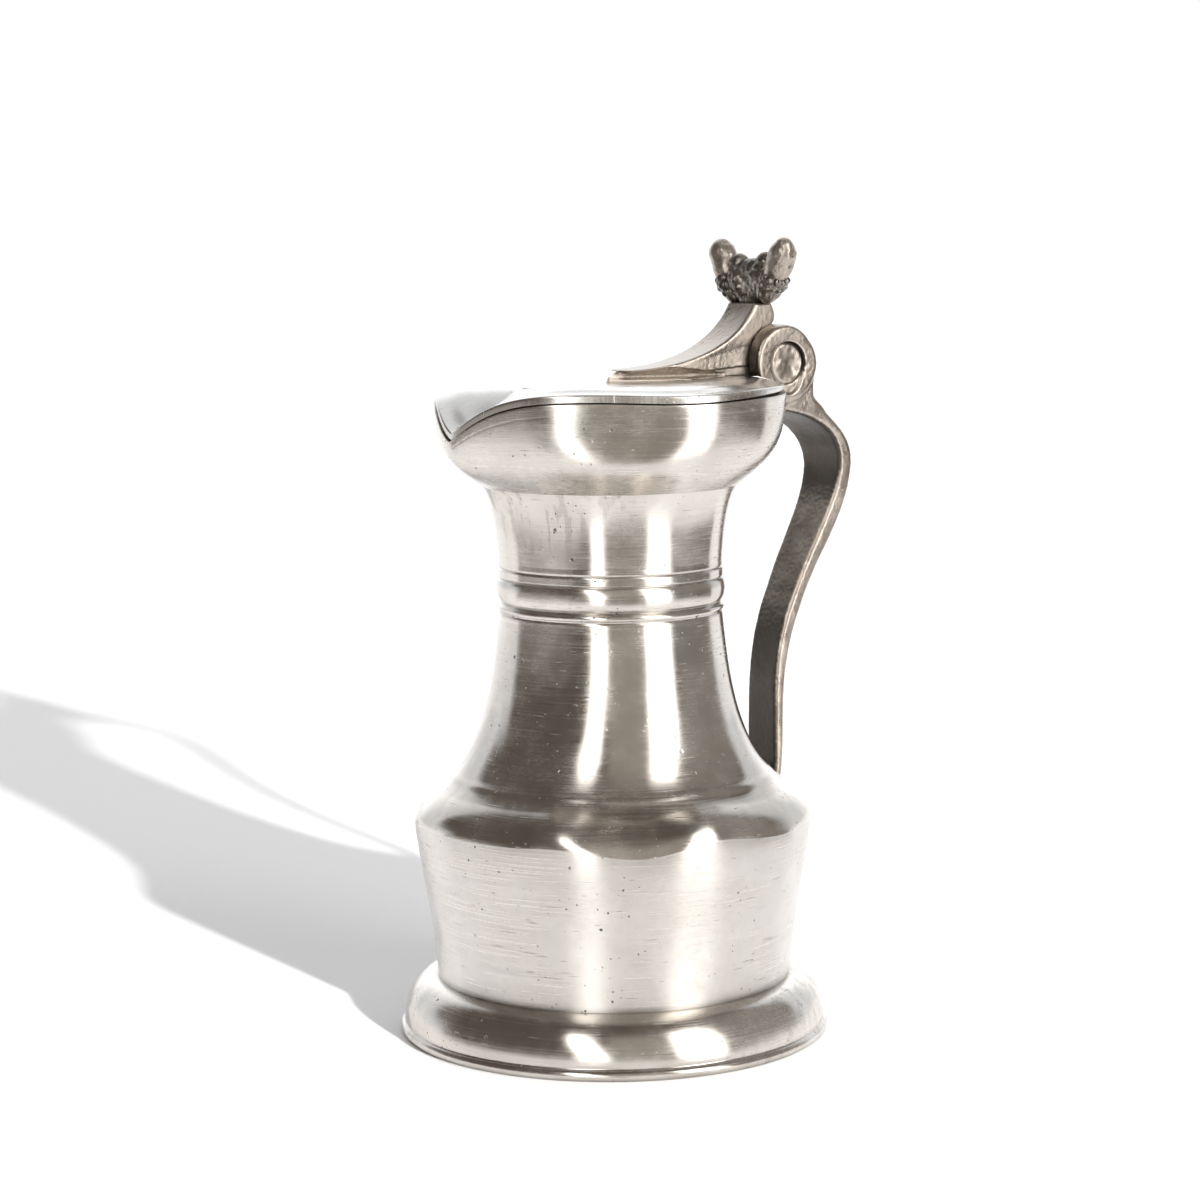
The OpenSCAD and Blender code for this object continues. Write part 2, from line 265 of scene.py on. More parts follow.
def as_mesh(name, bm, closed=True):
    """A mesh, its normals outwards if it is closed, from a bmesh that is then freed."""
    if closed:
        bmesh.ops.recalc_face_normals(bm, faces=bm.faces)
    mesh = bpy.data.meshes.new(name)
    bm.to_mesh(mesh)
    bm.free()
    return mesh


def weld(bm):
    """Joins points that lie in one place."""
    bmesh.ops.remove_doubles(bm, verts=bm.verts, dist=1e-5)


def lathed(name, outline, segments=320, warp=None):
    """A solid of revolution round Z from a closed outline of (radius, height)."""
    bm = bmesh.new()
    rings = []
    for s in range(segments):
        a = 2 * math.pi * s / segments
        ring = [Vector((r * math.cos(a), r * math.sin(a), z)) for r, z in outline]
        rings.append([bm.verts.new(warp(p, a) if warp else p) for p in ring])
    count = len(outline)
    for s in range(segments):
        here, beyond = rings[s], rings[(s + 1) % segments]
        for k in range(count):
            n = (k + 1) % count
            if outline[k][0] < 1e-6 and outline[n][0] < 1e-6:
                continue
            bm.faces.new((here[k], beyond[k], beyond[n], here[n]))
    weld(bm)
    bmesh.ops.dissolve_degenerate(bm, edges=bm.edges, dist=1e-6)
    weld(bm)
    return as_mesh(name, bm)


def wall_warp(p, angle):
    """Moves a point of the body's wall by the casting's unevenness."""
    return p + outward(p) * beaten(p) + Vector((0, 0, pushed(p.z, angle)))


def shell(name, outer, segments=360):
    """A ring of wall whose outer side is the given outline."""
    outer = filled_in(outer)
    return lathed(name, outer + inside(outer, WALL)[::-1], segments, wall_warp)


# ---------- body ----------


def foot_mesh():
    bead = 1.6
    crown = WAIST_R + 9.9
    outer = joined(
        [(FOOT_R - 3.6, 0.0), (FOOT_R - 1.1, 0.0)],
        arc((FOOT_R - bead, bead), bead, -72, 62, 14),
        curve((FOOT_R - 0.85, 3.05), (FOOT_R - 1.25, 3.3), (FOOT_R - 1.35, 3.5),
              (FOOT_R - 1.2, 3.9), 5),
        [(WAIST_R + (crown - WAIST_R) * math.cos(math.radians(a)),
          3.6 + (FOOT_H - 3.6) * math.sin(math.radians(a))) for a in range(6, 91, 3)])
    inner = curve((WAIST_R - 6, FOOT_H), (WAIST_R + 1, FOOT_H - 0.6),
                  (crown - 3, FOOT_H - 6), (FOOT_R - 3.6, 0.0), 20)
    outline = joined(filled_in(outer), filled_in(inner))[:-1]

    def warp(p, angle):
        return p + outward(p) * beaten(p, 1.2) * ease(p.z / 3)

    return lathed("foot_ring", outline, 360, warp)


def plate_mesh():
    """The flat bottom, with one turned ring on its underside."""
    r = WAIST_R - WALL + 0.8
    top = FOOT_H + PLATE_T
    outline = filled_in([(0.0, FOOT_H), (r, FOOT_H), (r, top), (0.0, top)], 2.0)
    ring_r, ring_depth = 30, 0.35

    def warp(p, angle):
        under = p.z < FOOT_H + PLATE_T / 2
        return p + Vector((0, 0, under * ring_depth * bump(math.hypot(p.x, p.y) - ring_r, 1.2)))

    return lathed("base_plate", outline, 180, warp)


def drum_outline():
    return joined(
        curve((WAIST_R, FOOT_H), (WAIST_R + 1.6, FOOT_H + 16),
              (BELLY_R - 2.4, BELLY_Z - 18), (BELLY_R - 0.75, BELLY_Z - 7), 50),
        curve((BELLY_R - 0.75, BELLY_Z - 7), (BELLY_R - 0.35, BELLY_Z - 4.3),
              (BELLY_R - 0.05, BELLY_Z - 2.2), (BELLY_R, BELLY_Z), 14))


def shoulder_outline():
    rounding = curve((BELLY_R, BELLY_Z), (BELLY_R - 0.1, BELLY_Z + 3.2),
                     (BELLY_R - 3.2, BELLY_Z + 6.2), (BELLY_R - 7.4, BELLY_Z + 8.8), 24)
    neck = curve((BELLY_R - 7.4, BELLY_Z + 8.8), (BELLY_R - 19, BELLY_Z + 17.4),
                 (NECK_R + 2.3, BAND_Z - 25), (NECK_R, BAND_Z), 90)
    ridge_z, ridge_h = 75.5, 0.28
    return [(r + ridge_h * bump(z - ridge_z, 0.9), z) for r, z in joined(rounding, neck)]


def band_outline():
    z = BAND_Z
    ring = curve((NECK_R - 0.55, z + 4.4), (NECK_R + 1.0, z + 5.6),
                 (NECK_R + 1.0, z + 10.4), (NECK_R - 0.25, z + 11.3), 22)
    return joined(
        [(NECK_R, z), (NECK_R - 0.05, z + 0.9), (NECK_R - 0.32, z + 1.4)],
        arc((NECK_R - 0.72, z + 2.7), 1.05, -56, 56, 12),
        [(NECK_R - 0.62, z + 4.2)],
        ring,
        [(NECK_R - 0.28, z + 11.5), (NECK_R + 0.12, z + 11.75),
         (NECK_R + 0.16, z + 12.0), (NECK_R + 0.16, z + 13.8), (NECK_R + 0.1, z + 14.0),
         (NECK_R - 0.25, z + 14.4), (NECK_R - 0.02, z + 14.9), (NECK_R - 0.05, z + 16.4)],
        curve((NECK_R - 0.05, z + 16.4), (NECK_R + 0.6, z + 24.5),
              (NECK_R + 1.1, CUP_Z - 5.6), (CUP_BASE_R, CUP_Z), 40))


def cup_outline():
    wall = curve((CUP_BASE_R, CUP_Z), (RIM_R - 3.7, CUP_Z + 7.9),
                 (RIM_R - 0.3, CUP_Z + 11.2), (RIM_R, RIM_Z), 64)
    scribe_z, scribe_depth = RIM_Z - 3.4, 0.07
    return [(r - scribe_depth * bump(z - scribe_z, 0.22), z) for r, z in filled_in(wall, 0.35)]


def cup_mesh():
    height = RIM_Z - CUP_Z
    outer = cup_outline()
    rounded = [(RIM_R - 0.12, RIM_Z), (RIM_R - WALL + 0.3, RIM_Z)]
    outline = outer[:-1] + rounded + inside(outer, WALL)[::-1][1:]

    def warp(p, angle):
        share = (p.z - CUP_Z) / height
        out = Vector((math.cos(angle), math.sin(angle), 0))
        drop = dip(angle) - rim_wave(angle)
        z = CUP_Z + (p.z - CUP_Z) * (1 - drop / height)
        pulled = lobe(angle) * ease(share) - drawn(angle) * ease((share - 0.17) / 0.54)
        moved = Vector((p.x, p.y, z)) + out * pulled
        return moved + out * beaten(moved) * ease((RIM_Z - p.z) / 4)

    return lathed("mouth_cup", outline, 480, warp)


# ---------- lid ----------


def lid_section():
    """The lid's section from its middle over the edge and back underneath."""
    low = LID_TOP - 3.6
    edge = low + 2.2
    skin = LID_TOP - 2.2
    top = filled_in([(DROOP_START, LID_TOP), (43.2, LID_TOP)], 1.2)
    rim = (LID_R - 0.9, edge + 0.12)
    slope = curve((43.2, LID_TOP), (45.2, LID_TOP), (46.6, edge + 0.35), rim, 12)
    lip = curve(rim, (LID_R - 0.2, edge + 0.1), (LID_R, edge - 0.1), (LID_R, edge - 0.7), 6)
    under = [(LID_R - 0.05, low + 0.15), (LID_R - 0.25, low)]
    seat = filled_in([(LID_R - 0.25, low), (LID_R - 4.6, low), (LID_R - 5.4, skin),
                      (DROOP_START, skin)], 1.2)
    return joined(top, slope, lip, under, seat)


def lid_mesh():
    section = lid_section()
    edge = LID_TOP - 1.4
    notch_angle = math.atan2(NOTCH_Y, NOTCH_X)
    notch_part = [notch_angle * i / 16 for i in range(-16, 17)]
    beyond = notch_angle + math.radians(0.25)
    around = [beyond + (2 * math.pi - 2 * beyond) * i / 420 for i in range(421)]
    bm = bmesh.new()
    columns = []
    for index, a in enumerate(notch_part + around):
        notched = index < len(notch_part)
        share = NOTCH_X / math.cos(a) / LID_R if notched else 1.0
        toward_hinge = ease((90 - abs(apart(math.degrees(a), 0))) / 50)
        column = []
        for r, z in section:
            r *= share
            if notched and z > edge:
                z = LID_TOP
            bend = ease((r - DROOP_START) / (LID_R - DROOP_START - 2))
            out = r + (lobe(a) - drawn(a)) * ease((r - DROOP_START) / (LID_R - DROOP_START))
            rim = ease((r - 44) / 5)
            z -= dip(a) * bend - rim_wave(a) * bend
            if not notched and z < edge - 0.9 + rim_wave(a):
                z += 0.9 * toward_hinge * ease((r - 48.5) / 2)
            p = Vector((out * math.cos(a), out * math.sin(a), z))
            if z > LID_TOP - 1.0:
                p.z -= LID_DISH * (1 - ease((r - 18) / 24)) * (1 - notched * ease((r - 30) / 8))
            p.z += 0.2 * noise.noise(p / 14) * (1 - rim)
            column.append(bm.verts.new(p))
        columns.append(column)
    hub_top = bm.verts.new((0, 0, LID_TOP - LID_DISH))
    hub_low = bm.verts.new((0, 0, LID_TOP - 2.2))
    for c, here in enumerate(columns):
        there = columns[(c + 1) % len(columns)]
        for k in range(len(section) - 1):
            bm.faces.new((here[k], here[k + 1], there[k + 1], there[k]))
        bm.faces.new((hub_top, here[0], there[0]))
        bm.faces.new((hub_low, there[-1], here[-1]))
    weld(bm)
    return as_mesh("lid_plate", bm)


# ---------- castings ----------


def slab(bm, outline, half_width, chamfer):
    """Adds a solid to bm: a side view in X and Z, as wide in Y as half_width(x, z) says."""
    count = len(outline)
    turn = sum(outline[i][0] * outline[(i + 1) % count][1]
               - outline[(i + 1) % count][0] * outline[i][1] for i in range(count))
    side = 1 if turn > 0 else -1
    inner = []
    for i, p in enumerate(outline):
        a, b = outline[i - 1], outline[(i + 1) % count]
        length = max(math.dist(a, b), 1e-6)
        along = ((b[0] - a[0]) / length, (b[1] - a[1]) / length)
        inner.append((p[0] - side * along[1] * chamfer, p[1] + side * along[0] * chamfer))
    loops = []
    for sign, ring, cut in ((-1, inner, 0), (-1, outline, chamfer),
                            (1, outline, chamfer), (1, inner, 0)):
        loops.append([bm.verts.new((q[0], sign * max(half_width(*p) - cut, 0.05), q[1]))
                      for p, q in zip(outline, ring)])
    for first, second in zip(loops, loops[1:]):
        for i in range(count):
            n = (i + 1) % count
            bm.faces.new((first[i], first[n], second[n], second[i]))
    for loop in (loops[0], loops[-1]):
        for face in tessellate_polygon([[v.co for v in loop]]):
            bm.faces.new([loop[i] for i in face])


def add_turned(bm, outline, place=None, segments=64):
    """Adds a solid of revolution round Z to bm, moved to its place."""
    mesh = lathed("turned", outline, segments)
    if place:
        mesh.transform(place)
    bm.from_mesh(mesh)
    bpy.data.meshes.remove(mesh)


def along_y(centre):
    """Turns what was made round Z so that its axis is Y, and moves it to centre."""
    return Matrix.Translation(centre) @ Matrix.Rotation(math.radians(-90), 4, "X")


def bar(bm, radius, y_from, y_to, bevel=0.0):
    """Adds a round bar along the hinge's axis, with its end edges taken off by bevel."""
    outline = [(0, y_from), (radius - bevel, y_from), (radius, y_from + bevel),
               (radius, y_to - bevel), (radius - bevel, y_to), (0, y_to)]
    add_turned(bm, outline, along_y(HINGE), 96)


def box(bm, low, high):
    """Adds a plain block to bm, for cutting."""
    made = bmesh.ops.create_cube(bm, size=1.0)
    size = Vector(high) - Vector(low)
    middle = (Vector(high) + Vector(low)) / 2
    for v in made["verts"]:
        v.co = Vector((v.co.x * size.x, v.co.y * size.y, v.co.z * size.z)) + middle


def modified(work, kind, **settings):
    """Applies one modifier to an object's mesh."""
    modifier = work.modifiers.new(kind, kind)
    for key, value in settings.items():
        setattr(modifier, key, value)
    graph = bpy.context.evaluated_depsgraph_get()
    made = bpy.data.meshes.new_from_object(work.evaluated_get(graph))
    old = work.data
    work.modifiers.clear()
    work.data = made
    bpy.data.meshes.remove(old)


def casting(name, solids, cutters, voxel, rounds):
    """One skin over overlapping solids, less the cutters, with its edges softened."""
    skin = {"mode": "VOXEL", "voxel_size": voxel, "adaptivity": 0}
    work = linked(name + "_work", as_mesh(name + "_work", solids))
    modified(work, "REMESH", **skin)
    if cutters is not None:
        tool = linked(name + "_tool", as_mesh(name + "_tool", cutters))
        modified(work, "BOOLEAN", operation="DIFFERENCE", solver="EXACT", use_self=True,
                 object=tool)
        bpy.data.objects.remove(tool)
        modified(work, "REMESH", **skin)
    modified(work, "SMOOTH", factor=0.5, iterations=rounds)
    mesh = work.data
    bpy.data.objects.remove(work)
    mesh.name = name
    return mesh


def with_normals(mesh):
    """Each point of a mesh with its normal from before any of them moves."""
    return list(zip(mesh.vertices, [v.normal.copy() for v in mesh.vertices]))


def roughen(mesh, amount, size):
    """Moves each point along its normal by a fine cast texture."""
    mesh.update()
    for v, n in with_normals(mesh):
        coarse = noise.noise(v.co / (size * 4) + Vector((5, 5, 5)))
        fine = noise.noise(v.co / size)
        v.co += n * amount * (fine + 1.2 * coarse)


# ---------- handle ----------


def strap_outline():
    """Side view of the strap and its hinge block."""
    x, z = HINGE.x, HINGE.z
    back = joined(
        [(x - 4, z), (x + EAR_R - 0.4, z - 1.5), (x + 10.7, z - 7), (x + 10.6, z - 9.6)],
        curve((x + 10.6, z - 9.6), (x + 11.2, z - 11.6), (x + 13.4, z - 11.8),
              (x + 15.4, z - 15.1), 12),
        curve((x + 15.4, z - 15.1), (76, 172), (81.5, 168), (81.5, 160.5)),
        curve((81.5, 160.5), (81.3, 147), (72, 137), (66, 124), 30),
        curve((66, 124), (61.5, 114), (58, 105), (57.5, 88), 24),
        curve((57.5, 88), (57.4, 78), (57.3, 71), (55.6, BELLY_Z + 2.2), 14))
    front = joined(
        [(53, BELLY_Z + 2.2), (53.8, 72)],
        curve((54, 72), (54, 78), (54, 82), (54, 88), 8),
        curve((54, 88), (53.8, 104), (56.5, 114), (61, 123.5), 24),
        curve((61, 123.5), (67, 138), (75.5, 149), (76.5, 159.5), 30),
        curve((76.5, 159.5), (77, 172.5), (62, 176.8), (52, 178), 30),
        [(x - 9, 178.8)])
    return joined(back, front)


def strap_half_width(x, z):
    """Half of the strap's width: wide under the hinge, narrowing down to the shoulder."""
    stops = ((0, 7.4), (66, 7.4), (86, 7.2), (103, 7.0), (121, 7.4), (135, 7.9), (150, 8.5),
             (159, 9.1), (165, 9.7), (170, 10.5), (178, 11.2), (230, 11.2))
    for (z0, w0), (z1, w1) in zip(stops, stops[1:]):
        if z <= z1:
            return w0 + (w1 - w0) * (z - z0) / (z1 - z0)


def ear_relief(mesh):
    """Flattens the ears' backs a little, and sinks an egg-shaped field round each plug."""
    for v in mesh.vertices:
        dx, dz = v.co.x - HINGE.x, v.co.z - HINGE.z
        radius = math.hypot(dx, dz)
        if radius > EAR_R + 3:
            continue
        turn = (math.degrees(math.atan2(dz, dx)) + 360) % 360
        if radius > KNUCKLE_R + 1.2 and dz > -2:
            within = ease((EAR_OUT + 0.5 - abs(v.co.y)) / (EAR_OUT - EAR_IN))
            grow = 0.075 * within * bump(turn - 125, 34) - 0.05 * bump(turn - 40, 26)
            v.co.x += grow * dx
            v.co.z += grow * dz
        if abs(v.co.y) < EAR_OUT - 1.6:
            continue
        egg = PLUG_R + 0.35 + 3.0 * bump(turn - 275, 36)
        depth = 0.95 * ease((egg - radius) / 0.9)
        lip = 0.22 * bump(radius - egg - 0.5, 0.5)
        v.co.y -= math.copysign(max(depth - lip, 0.0), v.co.y)


def handle_mesh():
    solids = bmesh.new()
    slab(solids, strap_outline(), strap_half_width, 0.9)
    bar(solids, EAR_R, -EAR_OUT, EAR_OUT, 0.7)
    cutters = bmesh.new()
    bar(cutters, KNUCKLE_R + FORK_GAP, -EAR_IN, EAR_IN)
    box(cutters, (HINGE.x - 22, -EAR_IN, RIM_Z + 0.1), (HINGE.x + 0.5, EAR_IN, RIM_Z + 30))
    box(cutters, (HINGE.x - 1, -EAR_IN, HINGE.z - 3.5), (HINGE.x + 22, EAR_IN, RIM_Z + 30))
    for side in (-1, 1):
        inner, outer = side * (EAR_OUT - PLUG_DEPTH), side * (EAR_OUT + 5)
        bar(cutters, PLUG_R, min(inner, outer), max(inner, outer))
    body = cup_outline()[::6] + [(RIM_R, RIM_Z)]
    add_turned(cutters, [(0, CUP_Z)] + body + [(0, RIM_Z)], segments=120)
    add_turned(cutters, [(0, BELLY_Z)] + shoulder_outline()[::3] + [(0, BAND_Z)], segments=120)
    mesh = casting("handle", solids, cutters, 0.34, 5)
    ear_relief(mesh)
    roughen(mesh, 0.05, 1.1)
    return mesh


# ---------- ramp ----------


NOSE_X = -1.1
NOSE_LENGTH = 5.2
NOSE_HALF = 5.6                   # half of the ramp's width behind its nose


def ramp_outline():
    """Side view of the ramp on the lid, with its knuckle left to a separate bar."""
    x, z = HINGE.x, HINGE.z
    low = LID_TOP - 3.2
    nose_low = LID_TOP - 1.3
    top = joined(
        [(NOSE_X, nose_low - 0.5), (NOSE_X, nose_low + 0.6)],
        curve((NOSE_X, nose_low + 0.6), (NOSE_X + 0.4, LID_TOP + 0.8),
              (NOSE_X + 2.2, LID_TOP + 2.2), (NOSE_X + NOSE_LENGTH, LID_TOP + 2.7), 9),
        [(5.0, LID_TOP + 2.75)],
        curve((5.0, LID_TOP + 2.75), (22, LID_TOP + 3.1), (40, LID_TOP + 7.3),
              (THUMB_X - 4, THUMB_Z + 0.2), 48),
        [(x - 1.9, THUMB_Z + 0.2)],
        curve((x - 1.9, THUMB_Z), (x - 1.2, THUMB_Z - 2), (x - 0.4, THUMB_Z - 4),
              (x - 1.0, THUMB_Z - 5.2), 8),
        curve((x - 1.7, THUMB_Z - 5.8), (x - 2.2, THUMB_Z - 7), (x - 1, z + KNUCKLE_R),
              (x, z + KNUCKLE_R - 0.5), 8))
    under = [(x, low), (NOTCH_X + 0.05, low), (NOTCH_X + 0.05, LID_TOP - 0.3),
             (38, LID_TOP - 0.4), (24, nose_low + 0.2)]
    return joined(top, filled_in(under, 2.0))


def ramp_half_width(x, z):
    """Half of the ramp's width: pointed at its nose, a little wider at the hinge."""
    full = NOSE_X + NOSE_LENGTH
    if x < full:
        reach = max(0.0, (x - NOSE_X) / NOSE_LENGTH)
        leaning = max(0.0, z - LID_TOP + 1.0) * 1.7 * min(1.0, 6 * (1 - reach))
        return max(0.15, 0.3 + 5.3 * reach ** 0.85 - leaning * min(1.0, 2.5 * reach))
    return NOSE_HALF + (RAMP_Y - NOSE_HALF) * ease((x - full) / (NOTCH_X - full))


def ramp_mesh():
    solids = bmesh.new()
    slab(solids, ramp_outline(), ramp_half_width, 0.55)
    bar(solids, KNUCKLE_R, -RAMP_Y, RAMP_Y, 0.4)
    cutters = bmesh.new()
    bar(cutters, PIN_R + 0.15, -RAMP_Y - 5, RAMP_Y + 5)
    mesh = casting("lid_ramp", solids, cutters, 0.27, 8)
    for v in mesh.vertices:
        p = v.co
        ragged = ease((p.z - THUMB_Z + 9) / 4) * ease((p.x - THUMB_X + 1) / 2)
        p.x += 0.45 * ragged * noise.noise(p / 1.6)
        crease_z = LID_TOP - 0.2 + 0.075 * (p.x - 4)
        flank = ease((abs(p.y) - 4.4) / 0.8) * ease((p.x - 5) / 6)
        below = ease((crease_z - p.z + 0.25) / 0.5) * (p.x < HINGE.x - KNUCKLE_R)
        p.y -= math.copysign(0.45 * flank * below, p.y)
    roughen(mesh, 0.035, 1.3)
    return mesh


# ---------- thumbpiece ----------

ACORN_Y = 7.0
NEAR_LEAN, FAR_LEAN = 27, 25
CUP_R = 4.7
CUP_H = 9.4
NUT_R = 4.3
NUT_H = 12.2
FAR_SINK = 0.7                    # the far acorn sits a little lower and more upright


def acorn_frame(side):
    """Places a shape on the leaning axis of one acorn."""
    sink = FAR_SINK if side > 0 else 0.0
    lean = math.radians(FAR_LEAN if side > 0 else NEAR_LEAN)
    place = Matrix.Translation((THUMB_X - 0.5 * (side > 0), side * ACORN_Y, THUMB_Z - sink))
    return place @ Matrix.Rotation(-side * lean, 4, "X")


def nut_outline():
    tip = CUP_H + NUT_H - 0.35
    return joined(
        [(0.0, CUP_H - 2.5), (NUT_R - 1.3, CUP_H - 2.5)],
        curve((NUT_R - 1.3, CUP_H - 2.5), (NUT_R + 0.1, CUP_H + 0.6),
              (NUT_R + 0.9, CUP_H + 6.6), (NUT_R * 0.84, tip - 2.7), 30),
        curve((NUT_R * 0.84, tip - 2.7), (NUT_R * 0.68, tip - 0.9),
              (NUT_R * 0.4, tip), (0.0, tip), 14))


def nut_mesh(name, side):
    def warp(p, angle):
        worn = 0.5 * noise.noise(p / 4.2 + Vector((side * 4, 0, 0)))
        pitted = 0.12 * noise.noise(p / 1.1 + Vector((0, side * 6, 0)))
        return p + outward(p) * (worn + pitted - 0.25)

    mesh = lathed(name, nut_outline(), 96, warp)
    mesh.transform(acorn_frame(side))
    return mesh


def ball(bm, centre, radii, turn=None):
    """Adds an egg-shaped lump to bm, turned about its own centre."""
    made = bmesh.ops.create_icosphere(bm, subdivisions=3, radius=1.0)
    for v in made["verts"]:
        p = Vector((v.co.x * radii[0], v.co.y * radii[1], v.co.z * radii[2]))
        v.co = (turn @ p if turn else p) + Vector(centre)


def knobs(p, side):
    """The cups' scales: slanting rows of small worn knobs, about 0 to 1."""
    local = acorn_frame(side).inverted() @ p
    angle = math.atan2(local.y, local.x)
    across, along = 6 * angle / math.pi, local.z / 1.5
    wobble = 0.7 * noise.noise(p / 2.4)
    first = math.cos(math.pi * (across + along / 2) + wobble)
    second = math.cos(math.pi * (across - along / 2) - wobble)
    return max(0.0, first * second) + 0.45 * noise.noise(p / 1.5)


def thumb_mesh():
    """Two scaly cups and the web between them, narrow below where they meet the ramp."""
    solids = bmesh.new()
    cup = joined(
        [(0.0, 0.8)],
        curve((1.2, 0.9), (CUP_R - 1.4, 1.0), (CUP_R, 2.8), (CUP_R, 6.2), 12),
        curve((CUP_R, 6.2), (CUP_R, 7.8), (CUP_R - 0.2, 8.8), (CUP_R - 1.1, CUP_H + 0.3), 8),
        [(0.0, CUP_H)])
    for side in (-1, 1):
        add_turned(solids, cup, acorn_frame(side))
        ball(solids, (THUMB_X, side * 5.0, THUMB_Z + 6.3), (4.5, 5.4, 6.6),
             Matrix.Rotation(-side * math.radians(14), 3, "X"))
        ball(solids, (THUMB_X, side * 6.3, THUMB_Z + 10.9), (3.3, 3.5, 4.2 if side < 0 else 3.7))
    ball(solids, (THUMB_X, 0.0, THUMB_Z + 9.0), (3.3, 7.5, 4.2))
    ball(solids, (THUMB_X, 0.0, THUMB_Z + 1.0), (4.0, 6.6, 2.4))
    mesh = casting("thumbpiece", solids, None, 0.22, 6)
    for v in mesh.vertices:
        low = 1 - ease((v.co.z - THUMB_Z) / 6.5)
        v.co.y *= 1 - 0.26 * low
        v.co.x = THUMB_X + (v.co.x - THUMB_X) * (1 - 0.12 * low)
    mesh.update()
    for v, n in with_normals(mesh):
        p = v.co
        side = 1 if p.y > 0 else -1
        height = p.z - THUMB_Z
        shown = ease((height - 0.6) / 2.5) * ease((14.2 - height) / 3) * ease(abs(p.y) / 1.2)
        seam = bump(p.y, 0.55) * ease((12.4 - height) / 3)
        p += n * (0.5 * shown * knobs(p, side) - 0.1 * shown)
        p.x -= 0.6 * seam * n.x
        if p.z < THUMB_Z + 0.02:
            p.z = THUMB_Z + 0.02 - 0.3 * ease((THUMB_Z - p.z) / 2)
    roughen(mesh, 0.04, 0.9)
    return mesh


# ---------- hinge pin and plugs ----------


def pin_mesh():
    outline = filled_in([(0.0, -PIN_HALF), (PIN_R - 0.2, -PIN_HALF), (PIN_R, 0.2 - PIN_HALF),
                         (PIN_R, PIN_HALF - 0.2), (PIN_R - 0.2, PIN_HALF), (0.0, PIN_HALF)], 0.5)

    def warp(p, angle):
        return p - outward(p) * 0.03 * (1 + noise.noise(p / 1.5))

    mesh = lathed("hinge_pin", outline, 64, warp)
    mesh.transform(along_y(HINGE))
    return mesh


def plug_mesh(name, side):
    """A worn disc in the ear, dished off centre, with a soft rolled edge."""
    depth = PLUG_DEPTH
    r = PLUG_R + 0.25
    outline = filled_in(joined(
        [(0.0, 0.02), (r, 0.02)],
        curve((r, depth - 2.0), (r, depth - 1.5), (r - 0.5, depth - 1.2),
              (r - 1.2, depth - 0.75), 8),
        [(0.0, depth - 1.0)]), 0.35)

    def warp(p, angle):
        if p.z < depth - 2.2:
            return p
        dimple = 0.95 * math.exp(-(((p.x - 2.3) ** 2 + (p.y * side + 1.6) ** 2) / 3.6))
        swell = 0.45 * math.exp(-(((p.x + 2.2) ** 2 + (p.y * side - 0.6) ** 2) / 8.0))
        return p + Vector((0, 0, swell - dimple + 0.14 * noise.noise(p / 1.7)))

    mesh = lathed(name, outline, 96, warp)
    if side < 0:
        mesh.transform(Matrix.Scale(-1, 4, Vector((0, 0, 1))))
        mesh.flip_normals()
    mesh.transform(along_y((HINGE.x, side * (EAR_OUT - depth), HINGE.z)))
    return mesh


# ---------- materials ----------


class Network:
    """A material's or world's node tree, with a short call for each kind of node used.
    An input may be a number or another node's output."""

    def __init__(self, owner):
        owner.use_nodes = True
        self.tree = owner.node_tree
        self.tree.nodes.clear()

    def add(self, kind, inputs=None, **settings):
        made = self.tree.nodes.new("ShaderNode" + kind)
        for key, value in settings.items():
            setattr(made, key, value)
        for key, value in (inputs or {}).items():
            if isinstance(value, bpy.types.NodeSocket):
                self.tree.links.new(value, made.inputs[key])
            else:
                made.inputs[key].default_value = value
        return made

    def math(self, operation, a, b=0.0, clamp=False):
        return self.add("Math", {0: a, 1: b}, operation=operation, use_clamp=clamp).outputs[0]

    def plus(self, a, b, clamp=False):
        return self.math("ADD", a, b, clamp)

    def minus(self, a, b):
        return self.math("SUBTRACT", a, b)

    def times(self, a, b):
        return self.math("MULTIPLY", a, b)

    def most(self, a, b):
        return self.math("MAXIMUM", a, b)

    def size(self, a):
        return self.math("ABSOLUTE", a)

    def ranged(self, value, low, high, to_low=0.0, to_high=1.0):
        """Maps a value from one range to another, clamped, with soft ends."""
        ends = {"From Min": low, "From Max": high, "To Min": to_low, "To Max": to_high}
        return self.add("MapRange", {"Value": value, **ends},
                        interpolation_type="SMOOTHSTEP").outputs[0]

    def vector(self, operation, a, b, result="Vector"):
        key = "Scale" if operation == "SCALE" else 1
        return self.add("VectorMath", {0: a, key: b}, operation=operation).outputs[result]

    def dot(self, direction, axis):
        """How far a direction points along a fixed axis."""
        return self.vector("DOT_PRODUCT", direction, axis, "Value")

    def noise(self, place, scale, detail, roughness=0.5, **settings):
        looks = {"Scale": scale, "Detail": detail, "Roughness": roughness}
        return self.add("TexNoise", {"Vector": place, **looks}, **settings).outputs[0]

    def mapped(self, place, scale, shift=0.0, turn=0.0):
        moves = {"Location": (shift, shift * 0.7, 0), "Rotation": (0, 0, math.radians(turn))}
        return self.add("Mapping", {"Vector": place, "Scale": scale, **moves}).outputs[0]

    def mix(self, factor, a, b):
        """One colour blended into another."""
        a, b = ((*c, 1.0) if isinstance(c, tuple) else c for c in (a, b))
        made = self.add("Mix", {"Factor": factor, "A": a, "B": b}, data_type="RGBA")
        return made.outputs["Result"]

    def turned(self, direction):
        """Degrees round from the camera's side towards the picture's right."""
        ahead, across = self.dot(direction, TOWARD_CAMERA), self.dot(direction, PICTURE_RIGHT)
        return self.times(self.math("ARCTAN2", across, ahead), 180 / math.pi)


